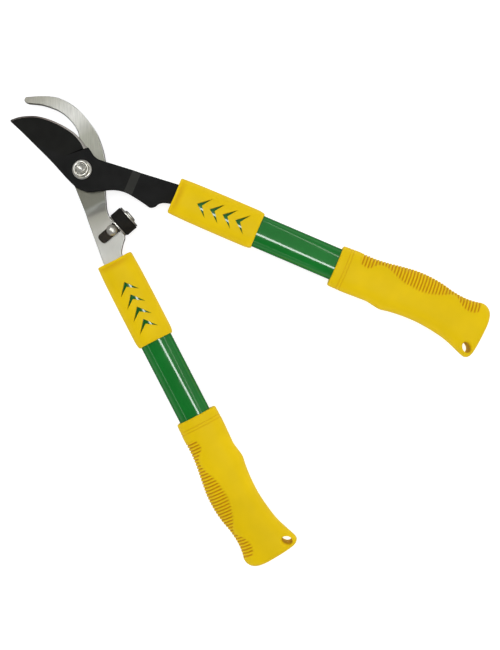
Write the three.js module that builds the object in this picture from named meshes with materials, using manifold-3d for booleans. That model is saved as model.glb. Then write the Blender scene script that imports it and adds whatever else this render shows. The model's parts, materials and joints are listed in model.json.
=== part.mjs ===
// Bypass loppers with oval tube handles, in millimetres, +Z up, lying flat.
// The origin is on the pivot axis at the bottom face of the pivot bolt's head. The blades point to +Y
// and the handles spread towards -Y. The right arm carries the cutting blade and the left arm the hook.
// Each arm is modelled in its own frame and mirrored or turned into place as a group:
// x runs from the pivot along the handle, y runs outwards from the gap between the handles, z is up.
import * as THREE from "three";
import { mergeVertices } from "three/addons/utils/BufferGeometryUtils.js";
import Module from "manifold-3d";

const wasm = await Module();
wasm.setup();

// Driving dimensions
const MID = 12; // height of the plane half way through both handles
const GAP = 0.3; // space left between pieces that touch on the real object
const HALF_SPREAD = 19.75; // degrees from +Y's line to each handle at rest
const AXIS_Y = 12.2; // offset of the handle's centre line from the pivot, outwards

const PLATE = 4; // thickness of both blade plates
const FACE_GAP = 0.15; // from the mid-plane to each blade's inner face
const BLADE_CRANK = [43, 50.5]; // where the cutting blade's plate steps down to the mid-plane
const HOOK_CRANK = [34.5, 43.5]; // where the hook's plate steps up to the mid-plane
const TANG_LOW = 4; // inner edge of the tang inside the sleeve
const TANG_HIGH = 22.8; // outer edge of the tang inside the sleeve
const TANG_END = 160;

const GRIND_DEPTH = 2; // how much thinner the cutting blade is ground at its edge
const GRIND_WIDTH = 26; // across the ground face
const GRIND_START = { x: -20, y: 5.2 }; // the corner nearest the pivot
const HEEL_TURN = 42.3; // degrees from the arm's line to the step at the heel of the ground face
const HEEL_SLOPE = 35; // degrees that this step slopes
const BEVEL_WIDTH = 1.5;
const EDGE_LAND = 0.35; // thickness left at the very edge
const BOLT_RADIUS = 4;
const HEX_RADIUS = 6.5 / Math.cos(Math.PI / 6); // 13 mm across flats
const BOLT_HEAD_HEIGHT = 5.55;
const WASHER_RADIUS = 9;
const NUT_BASE = MID + FACE_GAP + PLATE + GAP;
const NUT_FLANGE_RADIUS = 8.95;
const NUT_TURN = 12; // degrees that the nut's hexagon is turned
const STACK_TOP = 24;

const BUMPER_BASE = new THREE.Vector3(60.2, -6.1, MID); // centre of the rubber's inner end
const BUMPER_TURN = -103.5; // degrees from the handle's line to the bumper's axis
const RUBBER_RADIUS = 11.8;
const RUBBER_HEIGHT = 11.3;
const CAP_HEIGHT = 1.2;
const BUMPER_HEAD_HEIGHT = 1.7;
const WASHER_HEIGHT = 1.2;
const STUD_RADIUS = 2.5;
const BRACKET_THICKNESS = 1.6;
const BRACKET_WIDTH = 9.3;
const BRACKET_END = 22; // from the rubber's inner end to the bracket's far end
const BRACKET_CORNER = 3.2;
const BRACKET_RIVET = 7.6; // from the rubber's inner end to the bracket's rivet

const TUBE = { start: 90, end: 378, halfWidth: 15.15, halfDepth: 8, wall: 1.4, power: 2.3 };
const SLEEVE_FRONT = 87;
const SLEEVE_END = 170.4;
const SLEEVE_WALL = 2.5; // thickness of the sleeve's closed front
const CHEVRON_APEX = 110.1;
const CHEVRON_PITCH = 12.6;
const CHEVRONS = 4;
const CHEVRON_HALF_WIDTH = 9.45;
const CHEVRON_LENGTH = 11.6; // from the apex to the tips
const CHEVRON_NOTCH = 5; // from the apex to the notch behind it
const GRIP_SOCKET_END = 380;
const HANG_HOLE = { x: 388.1, y: AXIS_Y - 23.6, long: 5.2, short: 3.7, turn: -39 };
const PIN_RADIUS = 2;
const PINS_X = [103, 150];
const PIN_OFFSET = 1; // outwards from the handle's centre line
const INSERT = { start: 93, end: 168, halfWidth: 12.2, halfDepth: 5.7, power: 2.6 };

const FAR = 100; // longer than any piece is thick or wide, for cutting tools
const ROUND_SIDES = 28;

const finish = (color, roughness, metalness) =>
  new THREE.MeshStandardMaterial({ color, roughness, metalness });
const BLACK_COATING = finish(0x1c1c1b, 0.5, 0.3);
const BARE_STEEL = finish(0xb4b4b0, 0.35, 0.9);
const ZINC = finish(0xc8c8c2, 0.25, 0.95);
const BLACKENED = finish(0x33251c, 0.45, 0.6);
const RUBBER = finish(0x17150f, 0.85, 0);
const GREEN_PAINT = finish(0x0c5a26, 0.22, 0.1);
const YELLOW_PLASTIC = finish(0xe2c408, 0.45, 0);
const GREY_PLASTIC = finish(0x6b6b68, 0.6, 0);

// Geometry helpers
const point = (x, y) => new THREE.Vector2(x, y);
const radians = THREE.MathUtils.degToRad;

function solid(geometry) {
  const bare = geometry.clone();
  bare.deleteAttribute("normal");
  bare.deleteAttribute("uv");
  const merged = mergeVertices(bare, 1e-4);
  const vertProperties = new Float32Array(merged.attributes.position.array);
  const triVerts = new Uint32Array(merged.index.array);
  return new wasm.Manifold(new wasm.Mesh({ numProp: 3, vertProperties, triVerts }));
}

function named(name, shape, material) {
  const result = shape.getMesh();
  const geometry = new THREE.BufferGeometry();
  geometry.setAttribute("position", new THREE.BufferAttribute(result.vertProperties, 3));
  geometry.setIndex(new THREE.BufferAttribute(result.triVerts, 1));
  geometry.computeVertexNormals();
  const mesh = new THREE.Mesh(geometry, material);
  mesh.name = name;
  return mesh;
}

// A flat outline in x and y, as a solid between two heights.
function prism(outline, low, high, curveSegments = 3) {
  const options = { depth: high - low, bevelEnabled: false, curveSegments };
  return solid(new THREE.ExtrudeGeometry(outline, options).translate(0, 0, low));
}

function block(x0, x1, y0, y1, z0, z1, place) {
  const box = new THREE.BoxGeometry(x1 - x0, y1 - y0, z1 - z0);
  box.translate((x0 + x1) / 2, (y0 + y1) / 2, (z0 + z1) / 2);
  return solid(place ? box.applyMatrix4(place) : box);
}

// A profile of [radius, height] pairs turned about an upright axis at x, y.
function turned(profile, x = 0, y = 0, sides = ROUND_SIDES) {
  const points = profile.map(([radius, height]) => point(radius, height));
  return solid(new THREE.LatheGeometry(points, sides).rotateX(Math.PI / 2).translate(x, y, 0));
}

const cylinder = (radius, low, high, x, y, sides) =>
  turned([[0, low], [radius, low], [radius, high], [0, high]], x, y, sides);

function hexagon(radius, low, high, turnDegrees = 0) {
  const geometry = new THREE.CylinderGeometry(radius, radius, high - low, 6);
  return solid(geometry.rotateX(Math.PI / 2).rotateZ(radians(turnDegrees)).translate(0, 0, (low + high) / 2));
}

// One ring of an oval section: outwards and inwards half widths differ, the depth is the same both ways.
function ovalRing(station, sides) {
  const { x, outer, inner, depth, power } = station;
  const ring = [];
  for (let i = 0; i < sides; i++) {
    const angle = (2 * Math.PI * i) / sides;
    const across = Math.sign(Math.cos(angle)) * Math.abs(Math.cos(angle)) ** (2 / power);
    const up = Math.sign(Math.sin(angle)) * Math.abs(Math.sin(angle)) ** (2 / power);
    ring.push([x, AXIS_Y + across * (across > 0 ? outer : inner), MID + up * depth]);
  }
  return ring;
}

// A closed skin through oval rings along the handle.
function loft(stations, sides = 28) {
  const vertices = [];
  const faces = [];
  stations.forEach((station) => vertices.push(...ovalRing(station, sides)));
  for (let ring = 0; ring + 1 < stations.length; ring++)
    for (let i = 0; i < sides; i++) {
      const [a, b] = [ring * sides + i, ring * sides + ((i + 1) % sides)];
      faces.push(a, b, b + sides, a, b + sides, a + sides);
    }
  const last = (stations.length - 1) * sides;
  for (let i = 1; i + 1 < sides; i++) {
    faces.push(0, i + 1, i);
    faces.push(last, last + i, last + i + 1);
  }
  const geometry = new THREE.BufferGeometry();
  geometry.setAttribute("position", new THREE.Float32BufferAttribute(vertices.flat(), 3));
  geometry.setIndex(faces);
  return solid(geometry);
}

const evenOval = (x, half, depth, power) => ({ x, outer: half, inner: half, depth, power });

// A plate that steps from one height to another: its side view is extruded across the arm.
function crankedSlab([stepStart, stepEnd], bladeBottom) {
  const tangBottom = MID - PLATE / 2;
  const side = new THREE.Shape([
    point(-FAR, bladeBottom),
    point(stepStart, bladeBottom),
    point(stepEnd, tangBottom),
    point(TANG_END + 1, tangBottom),
    point(TANG_END + 1, tangBottom + PLATE),
    point(stepEnd, tangBottom + PLATE),
    point(stepStart, bladeBottom + PLATE),
    point(-FAR, bladeBottom + PLATE),
  ]);
  const geometry = new THREE.ExtrudeGeometry(side, { depth: 2 * FAR, bevelEnabled: false });
  return solid(geometry.rotateX(Math.PI / 2).translate(0, FAR, 0));
}

// The tang inside the sleeve, the same on both arms, drawn from its outer edge round to its inner edge.
function drawTang(outline) {
  outline.lineTo(SLEEVE_FRONT, TANG_HIGH);
  outline.lineTo(TANG_END - 4, TANG_HIGH);
  outline.lineTo(TANG_END, TANG_HIGH - 4);
  outline.lineTo(TANG_END, TANG_LOW + 4);
  outline.lineTo(TANG_END - 4, TANG_LOW);
  outline.lineTo(SLEEVE_FRONT, TANG_LOW);
}

// A wedge swept along an edge that runs in x and y, which leaves a bevel there when it is cut away.
// The body lies to the left of the edge's direction when left is 1, to its right when left is -1.
function bevelTool(edge, width, low, high, left) {
  const path = new THREE.CatmullRomCurve3(edge.map(([x, y]) => new THREE.Vector3(x, y, 0)));
  const slope = width / (high - low);
  const reach = 1.5;
  const section = new THREE.Shape([
    point(-(low - reach), -left * reach * slope),
    point(-(high + reach), left * (width + reach * slope)),
    point(-(high + reach), -left * 3),
    point(-(low - reach), -left * 3),
  ]);
  const options = { steps: 4 * edge.length, bevelEnabled: false, extrudePath: path };
  return solid(new THREE.ExtrudeGeometry(section, options));
}

// The cutting blade: one plate, cranked behind the pivot, ground on its upper face and bevelled at its edge.
const CUTTING_EDGE = [
  [-80, 16.8],
  [-75, 21.4],
  [-70, 24.7],
  [-60, 29.2],
  [-50, 31],
  [-40, 31.4],
  [-30, 30.6],
  [-20, 28.5],
  [-10, 24],
  [-4.2, 19.6],
];

// Everything above a plane through a corner at a height, which slopes down to the left of a turned line.
function aboveSlope(corner, height, turn, slope) {
  const place = new THREE.Matrix4().makeTranslation(corner.x, corner.y, height);
  place.multiply(new THREE.Matrix4().makeRotationZ(turn));
  place.multiply(new THREE.Matrix4().makeRotationX(-slope));
  return block(-FAR, FAR, -FAR, FAR, 0, FAR / 2, place);
}

function cuttingBlade() {
  const outline = new THREE.Shape();
  outline.moveTo(...CUTTING_EDGE[0]);
  outline.splineThru(CUTTING_EDGE.slice(1).map(([x, y]) => point(x, y)));
  outline.lineTo(-3, 21);
  outline.splineThru([point(0, 18.8), point(4, 16.4), point(10, 14.8), point(20, 15.7)]);
  drawTang(outline);
  outline.splineThru([point(80, 2), point(76, -1), point(74, -4.5), point(70, -7), point(65, -6.1)]);
  outline.splineThru([point(55, -4.3), point(45, -3.3), point(35, -4.9), point(25, -9.5)]);
  outline.splineThru([point(15, -15.2), point(9, -17), point(0.5, -17)]);
  outline.splineThru([point(-10, -12.9), point(-30, -3.7), point(-60, 8.3), point(-78.6, 15)]);

  const bottom = MID + FACE_GAP;
  const top = bottom + PLATE;
  const slope = Math.atan2(GRIND_DEPTH, GRIND_WIDTH);
  const groundFace = aboveSlope(GRIND_START, top, 0, slope);
  const heelStep = aboveSlope(GRIND_START, top, radians(HEEL_TURN), radians(HEEL_SLOPE));
  const pastTip = [-83, 14];
  const tool = bevelTool([pastTip, ...CUTTING_EDGE], BEVEL_WIDTH, bottom + EDGE_LAND, top - GRIND_DEPTH, -1);
  return prism(outline, 0, FAR)
    .intersect(crankedSlab(BLADE_CRANK, bottom))
    .subtract(groundFace.intersect(heelStep))
    .subtract(tool)
    .subtract(cylinder(BOLT_RADIUS + GAP, 0, FAR));
}

// The hook: the same plate stock, cranked the other way, with a chamfered inner edge and a bumper seat.
const HOOK_EDGE = [
  [-78.6, 16.3],
  [-75, 10.6],
  [-70, 4],
  [-60, -5],
  [-50, -9.8],
  [-40, -12],
  [-33, -11.9],
];

const bumperPlace = new THREE.Matrix4().makeTranslation(BUMPER_BASE).multiply(
  new THREE.Matrix4().makeRotationZ(radians(BUMPER_TURN)),
);
const SEAT = -(WASHER_HEIGHT + 2 * GAP); // the tang's edge behind the bumper's base washer
const TAB_END = SEAT - BRACKET_THICKNESS;

function onSeat(across) {
  const place = new THREE.Vector3(SEAT, across, 0).applyMatrix4(bumperPlace);
  return point(place.x, place.y);
}

function hookBlade() {
  const outline = new THREE.Shape();
  outline.moveTo(...HOOK_EDGE[0]);
  outline.splineThru(HOOK_EDGE.slice(1).map(([x, y]) => point(x, y)));
  outline.splineThru([point(-26, -9), point(-17, -2), point(-10, 8), point(0, 13), point(10, 13.8)]);
  outline.splineThru([point(20, 14.7), point(40, 16.7), point(60, 19.3)]);
  drawTang(outline);
  outline.splineThru([point(83, 2.8), point(77, -2), point(74, -5.2), onSeat(10.5)]);
  outline.lineTo(onSeat(-10.5).x, onSeat(-10.5).y);
  outline.splineThru([point(43, -2.8), point(35, -5.5), point(25.5, -9.8), point(14, -16.5), point(2, -22)]);
  outline.splineThru([point(-10, -25.3), point(-25, -27), point(-40, -25.2), point(-50, -22.8)]);
  outline.splineThru([point(-60, -18.5), point(-70, -11.2), point(-75, -5), point(-80, 4), point(-84, 13)]);
  outline.splineThru([point(-85, 16), point(-83.7, 18.2), point(-81.3, 18.6), point(...HOOK_EDGE[0])]);

  const top = MID - FACE_GAP;
  const notchHalf = BRACKET_WIDTH / 2 + GAP;
  const notch = block(TAB_END - GAP, 5, -notchHalf, notchHalf, -FAR, FAR, bumperPlace);
  const rivet = new THREE.Vector3(-BRACKET_RIVET, 0, 0).applyMatrix4(bumperPlace);
  return prism(outline, 0, FAR)
    .intersect(crankedSlab(HOOK_CRANK, top - PLATE))
    .subtract(bevelTool(HOOK_EDGE, 0.9, top - 0.9, top, -1))
    .subtract(notch)
    .subtract(cylinder(STUD_RADIUS + GAP, 0, FAR, rivet.x, rivet.y))
    .subtract(cylinder(BOLT_RADIUS + GAP, 0, FAR));
}

// The pivot: a hexagon bolt from below, a washer, and a flanged lock nut on top.
function pivotBolt() {
  const chamfer = turned([[0, 0], [6.4, 0], [8, 0.8], [8, BOLT_HEAD_HEIGHT], [0, BOLT_HEAD_HEIGHT]]);
  const end = [[BOLT_RADIUS, STACK_TOP - 0.6], [BOLT_RADIUS - 0.6, STACK_TOP], [0, STACK_TOP]];
  const shank = turned([[0, 1], [BOLT_RADIUS, 1], ...end]);
  return hexagon(HEX_RADIUS, 0, BOLT_HEAD_HEIGHT).intersect(chamfer).add(shank);
}

function pivotWasher() {
  const low = BOLT_HEAD_HEIGHT + GAP;
  const high = MID - FACE_GAP - PLATE - GAP;
  return cylinder(WASHER_RADIUS, low, high).subtract(cylinder(BOLT_RADIUS + GAP, 0, FAR));
}

function pivotNut() {
  const top = STACK_TOP - 0.5;
  const flange = turned([
    [0, NUT_BASE],
    [NUT_FLANGE_RADIUS, NUT_BASE],
    [NUT_FLANGE_RADIUS, NUT_BASE + 0.9],
    [6.2, NUT_BASE + 2.4],
    [0, NUT_BASE + 2.4],
  ]);
  const crown = turned([[0, NUT_BASE], [8, NUT_BASE], [8, top - 2], [6.3, top - 1.2], [5.6, top], [0, top]]);
  const hex = hexagon(HEX_RADIUS, NUT_BASE + 0.5, top, NUT_TURN).intersect(crown);
  return flange.add(hex).subtract(cylinder(BOLT_RADIUS + GAP, 0, FAR));
}

// The bumper's pieces are turned about an axis that points from the tang to the other arm.
function bumperTurned(profile, sides = ROUND_SIDES) {
  const points = profile.map(([radius, along]) => point(radius, along));
  const geometry = new THREE.LatheGeometry(points, sides).rotateZ(-Math.PI / 2);
  return solid(geometry.applyMatrix4(bumperPlace));
}

const bumperDisc = (radius, from, to) => bumperTurned([[0, from], [radius, from], [radius, to], [0, to]]);
const studHole = () => bumperDisc(STUD_RADIUS + GAP, -30, 30);

function bumperBracket() {
  const half = BRACKET_WIDTH / 2;
  const top = MID + PLATE / 2 + GAP;
  const strip = new THREE.Shape();
  strip.moveTo(SEAT, half);
  const cornerX = -BRACKET_END + BRACKET_CORNER;
  const cornerY = half - BRACKET_CORNER;
  strip.lineTo(cornerX, half);
  strip.absarc(cornerX, cornerY, BRACKET_CORNER, Math.PI / 2, Math.PI, false);
  strip.absarc(cornerX, -cornerY, BRACKET_CORNER, Math.PI, (3 * Math.PI) / 2, false);
  strip.lineTo(SEAT, -half);
  const options = { depth: BRACKET_THICKNESS, bevelEnabled: false, curveSegments: 8 };
  const flat = new THREE.ExtrudeGeometry(strip, options).translate(0, 0, top - MID);
  const tab = block(TAB_END, SEAT, -half, half, -7, top - MID + BRACKET_THICKNESS, bumperPlace);
  const rivet = new THREE.Vector3(-BRACKET_RIVET, 0, 0).applyMatrix4(bumperPlace);
  return solid(flat.applyMatrix4(bumperPlace))
    .add(tab)
    .subtract(cylinder(STUD_RADIUS + GAP, 0, FAR, rivet.x, rivet.y))
    .subtract(studHole());
}

function bracketRivet() {
  const rivet = new THREE.Vector3(-BRACKET_RIVET, 0, 0).applyMatrix4(bumperPlace);
  const tail = MID - PLATE / 2 - GAP;
  const head = MID + PLATE / 2 + BRACKET_THICKNESS + 2 * GAP;
  const dome = [];
  for (let i = 0; i <= 6; i++) {
    const angle = (Math.PI / 2) * (i / 6);
    dome.push([5.15 * Math.cos(angle), head + 0.5 + 2.9 * Math.sin(angle)]);
  }
  dome[6][0] = 0;
  const profile = [[0, tail - 1.8], [2.9, tail - 1.8], [3.8, tail - 0.9], [3.8, tail], [STUD_RADIUS, tail]];
  return turned([...profile, [STUD_RADIUS, head], [5.15, head], ...dome], rivet.x, rivet.y, 24);
}

const CAP_START = RUBBER_HEIGHT + GAP;
const CAP_END = CAP_START + CAP_HEIGHT;
const bumperBaseWasher = () => bumperDisc(11, SEAT + GAP, -GAP).subtract(studHole());
const bumperCapWasher = () => bumperDisc(10.8, CAP_START, CAP_END).subtract(studHole());

function bumperPad() {
  const [radius, height, round] = [RUBBER_RADIUS, RUBBER_HEIGHT, 0.8];
  const inner = [[0, 0], [radius - round, 0], [radius, round]];
  const outer = [[radius, height - round], [radius - round, height], [0, height]];
  return bumperTurned([...inner, ...outer]).subtract(studHole());
}

function bumperRivet() {
  const head = CAP_END + GAP;
  const end = head + BUMPER_HEAD_HEIGHT;
  const neck = [[0, TAB_END], [STUD_RADIUS, TAB_END], [STUD_RADIUS, head], [5.95, head]];
  return bumperTurned([...neck, [5.95, end - 0.7], [5, end - 0.15], [2.5, end], [0, end]]);
}

// The handle's pieces, the same on both arms.
const pinHoles = () =>
  PINS_X.map((x) => cylinder(PIN_RADIUS + GAP, -5, FAR, x, AXIS_Y + PIN_OFFSET, 16));
const cutAll = (shape, tools) => tools.reduce((left, tool) => left.subtract(tool), shape);

function tubeCore(clearance, start, end) {
  const [half, depth] = [TUBE.halfWidth + clearance, TUBE.halfDepth + clearance];
  return loft([evenOval(start, half, depth, TUBE.power), evenOval(end, half, depth, TUBE.power)]);
}

function tube() {
  const inside = tubeCore(-TUBE.wall, TUBE.start - 5, TUBE.end + 5);
  return cutAll(tubeCore(0, TUBE.start, TUBE.end), [inside, ...pinHoles()]);
}

function chevron(apex) {
  const outline = new THREE.Shape([
    point(apex, AXIS_Y),
    point(apex + CHEVRON_LENGTH, AXIS_Y + CHEVRON_HALF_WIDTH),
    point(apex + CHEVRON_NOTCH, AXIS_Y),
    point(apex + CHEVRON_LENGTH, AXIS_Y - CHEVRON_HALF_WIDTH),
  ]);
  return prism(outline, -FAR, FAR);
}

function sleeve() {
  const power = 2.5;
  const outer = loft([
    evenOval(SLEEVE_FRONT, 16.6, 9.2, power),
    evenOval(SLEEVE_FRONT + 0.6, 17.1, 9.5, power),
    evenOval(SLEEVE_FRONT + 5, 17.4, 10.7, power),
    evenOval(SLEEVE_FRONT + 17, 17.7, 10.8, power),
    evenOval(130, 18, 10.9, power),
    evenOval(SLEEVE_END - 7, 18, 10.9, power),
    evenOval(SLEEVE_END - 3.5, 17.6, 10.5, power),
    evenOval(SLEEVE_END, 16.3, 9.3, power),
  ]);
  const slotFrom = TANG_LOW - 0.4;
  const slotTo = TANG_HIGH + 0.4;
  const slot = block(SLEEVE_FRONT - 5, SLEEVE_FRONT + 10, slotFrom, slotTo, MID - 2.4, MID + 2.4);
  const chevrons = Array.from({ length: CHEVRONS }, (_, i) => chevron(CHEVRON_APEX + i * CHEVRON_PITCH));
  return cutAll(outer, [tubeCore(GAP, SLEEVE_FRONT + SLEEVE_WALL, SLEEVE_END + 10), slot, ...chevrons]);
}

// The grip swells under the fingers on its outer side and flares inwards at its end.
const GRIP_STATIONS = [
  [248.7, 17.4, 19.5, 9.9],
  [250.2, 18.5, 20.7, 10.9],
  [262, 19.25, 21, 11.4],
  [281, 19.3, 20.3, 11.5],
  [292, 20.3, 20.5, 11.8],
  [301, 21.7, 22.1, 12],
  [310, 23, 20.9, 12],
  [318, 24, 20, 12],
  [326, 24.3, 19.5, 12],
  [336, 23.9, 19.4, 12],
  [347, 22.4, 20.2, 11.8],
  [358, 19.9, 21.8, 11.6],
  [366, 18.8, 23.3, 11.6],
  [373, 18.5, 25.4, 11.7],
  [380, 19.1, 28, 11.8],
  [387.4, 20.1, 31.4, 12],
  [391.3, 19.4, 32.2, 11.6],
  [394.7, 17.2, 30.6, 10.3],
  [396.5, 14.5, 27.5, 8.5],
];

function grip() {
  const stations = GRIP_STATIONS.map(([x, outer, inner, depth]) => ({ x, outer, inner, depth, power: 2.4 }));
  const hole = new THREE.CylinderGeometry(1, 1, 2 * FAR, 20).rotateX(Math.PI / 2);
  hole.scale(HANG_HOLE.long, HANG_HOLE.short, 1);
  hole.rotateZ(radians(HANG_HOLE.turn));
  hole.translate(HANG_HOLE.x, HANG_HOLE.y, 0);
  return cutAll(loft(stations), [tubeCore(GAP, 240, GRIP_SOCKET_END), solid(hole)]);
}

// Two half-round fillers hold the tang in the middle of the tube.
function tangInsert(side) {
  const whole = loft([
    evenOval(INSERT.start, INSERT.halfWidth, INSERT.halfDepth, INSERT.power),
    evenOval(INSERT.end, INSERT.halfWidth, INSERT.halfDepth, INSERT.power),
  ]);
  const near = MID + side * (PLATE / 2 + GAP);
  const far = side * FAR;
  const half = block(0, FAR * 2, -FAR, FAR, Math.min(near, far), Math.max(near, far));
  return cutAll(whole.intersect(half), pinHoles());
}

function tangPin(x) {
  const half = TUBE.halfDepth - 0.2;
  return cylinder(PIN_RADIUS, MID - half, MID + half, x, AXIS_Y + PIN_OFFSET, 16);
}

function handle(arm, side) {
  const add = (name, shape, material) => arm.add(named(`${side}_${name}`, shape, material));
  add("tube", tube(), GREEN_PAINT);
  add("sleeve", sleeve(), YELLOW_PLASTIC);
  add("grip", grip(), YELLOW_PLASTIC);
  add("tang_insert_front", tangInsert(1), GREY_PLASTIC);
  add("tang_insert_back", tangInsert(-1), GREY_PLASTIC);
  PINS_X.forEach((x, i) => add(`tang_pin_${i + 1}`, tangPin(x), BARE_STEEL));
}

// The assembly
const pinned = (blade) => cutAll(blade, pinHoles());

const rightArm = new THREE.Group();
rightArm.rotation.z = radians(-90 + HALF_SPREAD);
rightArm.add(named("cutting_blade", pinned(cuttingBlade()), BLACK_COATING));
handle(rightArm, "right");

const leftArm = new THREE.Group();
leftArm.rotation.z = radians(-90 - HALF_SPREAD);
leftArm.scale.y = -1;
leftArm.add(named("hook_blade", pinned(hookBlade()), BARE_STEEL));
leftArm.add(named("bumper_bracket", bumperBracket(), BLACKENED));
leftArm.add(named("bracket_rivet", bracketRivet(), ZINC));
leftArm.add(named("bumper_base_washer", bumperBaseWasher(), ZINC));
leftArm.add(named("bumper_pad", bumperPad(), RUBBER));
leftArm.add(named("bumper_cap_washer", bumperCapWasher(), ZINC));
leftArm.add(named("bumper_rivet", bumperRivet(), ZINC));
handle(leftArm, "left");

const loppers = new THREE.Group();
loppers.add(leftArm, rightArm);
loppers.add(named("pivot_bolt", pivotBolt(), ZINC));
loppers.add(named("pivot_washer", pivotWasher(), ZINC));
loppers.add(named("pivot_nut", pivotNut(), ZINC));

export default loppers;
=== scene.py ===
import json
import math

import bmesh
import bpy
import numpy as np
from mathutils import Matrix, Vector


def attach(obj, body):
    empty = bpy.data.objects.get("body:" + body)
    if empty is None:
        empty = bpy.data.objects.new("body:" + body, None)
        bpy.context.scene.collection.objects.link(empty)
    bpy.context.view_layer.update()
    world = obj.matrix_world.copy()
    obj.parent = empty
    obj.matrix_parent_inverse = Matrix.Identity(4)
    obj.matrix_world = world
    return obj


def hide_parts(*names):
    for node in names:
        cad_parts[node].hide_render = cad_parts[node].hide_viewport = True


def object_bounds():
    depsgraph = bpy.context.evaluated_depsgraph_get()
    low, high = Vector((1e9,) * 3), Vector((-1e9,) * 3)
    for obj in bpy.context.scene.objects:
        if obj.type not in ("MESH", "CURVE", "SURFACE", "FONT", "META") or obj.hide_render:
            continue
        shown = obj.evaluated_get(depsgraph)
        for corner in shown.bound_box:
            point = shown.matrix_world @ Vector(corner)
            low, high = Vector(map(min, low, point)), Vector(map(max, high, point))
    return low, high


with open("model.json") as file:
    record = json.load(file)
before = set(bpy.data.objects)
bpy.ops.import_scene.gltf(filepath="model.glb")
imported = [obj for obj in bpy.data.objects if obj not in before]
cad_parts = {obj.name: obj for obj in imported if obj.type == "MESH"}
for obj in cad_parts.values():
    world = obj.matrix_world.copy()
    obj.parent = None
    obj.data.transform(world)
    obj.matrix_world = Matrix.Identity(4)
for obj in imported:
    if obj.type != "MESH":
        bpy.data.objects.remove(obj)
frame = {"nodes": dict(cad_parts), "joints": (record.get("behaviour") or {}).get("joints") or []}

cad_low, cad_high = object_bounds()

MM = 0.001
PIVOT = Vector(frame["joints"][0]["pos_m"]) / MM
MID = PIVOT.z
HALF_SPREAD = 19.75  # degrees between the middle line and each handle
AXIS_OUT = 12.2  # the handle's centre line, outwards from the pivot
SIDES = {"left": -1, "right": 1}
BODY = {"left": "hook_arm", "right": "blade_arm"}
MERGE = 1e-6  # metres


# ---- Shapes ----


def place(side, along, out, up):
    """A point of an arm's frame, in metres in the row frame."""
    turn = math.radians(-90 + HALF_SPREAD * side)
    x = along * math.cos(turn) - side * out * math.sin(turn)
    y = along * math.sin(turn) + side * out * math.cos(turn)
    return np.stack([x, y, up + MID + 0 * x], axis=-1) * MM


def add_mesh(name, vertices, faces, material, smooth_angle=35, shade=None):
    """A new mesh object with its normals outwards and its edges sharp past an angle.

    shade, where given, says how much painted groove shade each vertex gets, from 0 to 1.
    """
    mesh = bpy.data.meshes.new(name)
    mesh.from_pydata([tuple(v) for v in vertices], [], faces)
    if shade is not None:
        mesh.attributes.new("groove", "FLOAT", "POINT").data.foreach_set("value", shade)
    piece = bpy.data.objects.new(name, mesh)
    bpy.context.scene.collection.objects.link(piece)
    tidy(piece, smooth_angle)
    piece.data.materials.append(material)
    return piece


def tidy(piece, smooth_angle):
    """Joins doubled vertices, turns the normals outwards and makes edges sharp past an angle."""
    work = bmesh.new()
    work.from_mesh(piece.data)
    bmesh.ops.remove_doubles(work, verts=work.verts, dist=MERGE)
    bmesh.ops.recalc_face_normals(work, faces=work.faces)
    work.to_mesh(piece.data)
    work.free()
    piece.data.shade_smooth()
    piece.data.set_sharp_from_angle(angle=math.radians(smooth_angle))


def skin(rings, close_first=True, close_last=True):
    """Faces between rings of equal size, given as arrays of points, with flat ends."""
    count = len(rings[0])
    vertices = np.concatenate(rings)
    faces = []
    for ring in range(len(rings) - 1):
        start = ring * count
        for i in range(count):
            j = (i + 1) % count
            faces.append((start + i, start + j, start + count + j, start + count + i))
    if close_first:
        faces.append(tuple(reversed(range(count))))
    if close_last:
        last = (len(rings) - 1) * count
        faces.append(tuple(range(last, last + count)))
    return vertices, faces


def smooth_curve(points, x):
    """The value at x on a smooth curve through [x, value] points."""
    known = np.array(points, float)
    xs, ys = known[:, 0], known[:, 1]
    slopes = np.gradient(ys, xs)
    i = np.clip(np.searchsorted(xs, x) - 1, 0, len(xs) - 2)
    step = xs[i + 1] - xs[i]
    t = np.clip((x - xs[i]) / step, 0, 1)
    start = (2 * t**3 - 3 * t**2 + 1) * ys[i] + (t**3 - 2 * t**2 + t) * step * slopes[i]
    end = (-2 * t**3 + 3 * t**2) * ys[i + 1] + (t**3 - t**2) * step * slopes[i + 1]
    return start + end


def ease(value, low, high):
    """0 below low, 1 above high, and smooth between them."""
    t = np.clip((value - low) / (high - low), 0, 1)
    return t * t * (3 - 2 * t)


def oval(outer, inner, depth, power, count):
    """An oval section: its out and up coordinates from the handle's axis, and its outward normals."""
    angle = 2 * math.pi * np.arange(count) / count
    across = np.sign(np.cos(angle)) * np.abs(np.cos(angle)) ** (2 / power)
    up = np.sign(np.sin(angle)) * np.abs(np.sin(angle)) ** (2 / power)
    half = np.where(across > 0, outer, inner)
    normal = np.stack([
        np.sign(across) * np.abs(across) ** (power - 1) / half,
        np.sign(up) * np.abs(up) ** (power - 1) / depth,
    ])
    normal = normal / np.linalg.norm(normal, axis=0)
    return across * half, up * depth, normal


def turned(name, profile, material, axis=(0, 0, 1), origin=(0, 0, 0), count=64, smooth_angle=35):
    """A profile of [radius, height] pairs turned about an axis. It starts and ends on the axis."""
    to_axis = Vector(axis).to_track_quat("Z", "Y").to_matrix()
    angle = 2 * math.pi * np.arange(count) / count
    rings = []
    for radius, height in profile[1:-1]:
        ring = np.stack([radius * np.cos(angle), radius * np.sin(angle), np.full(count, height)], axis=-1)
        rings.append(ring)
    vertices, faces = skin(rings)
    vertices = vertices @ np.array(to_axis).T + np.array(origin)
    return add_mesh(name, vertices * MM, faces, material, smooth_angle)


def own_material(piece, material):
    """Gives the whole piece one material."""
    piece.data.materials.clear()
    piece.data.materials.append(material)


def apply_modifiers(piece):
    graph = bpy.context.evaluated_depsgraph_get()
    made = bpy.data.meshes.new_from_object(piece.evaluated_get(graph))
    piece.modifiers.clear()
    piece.data = made


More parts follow.
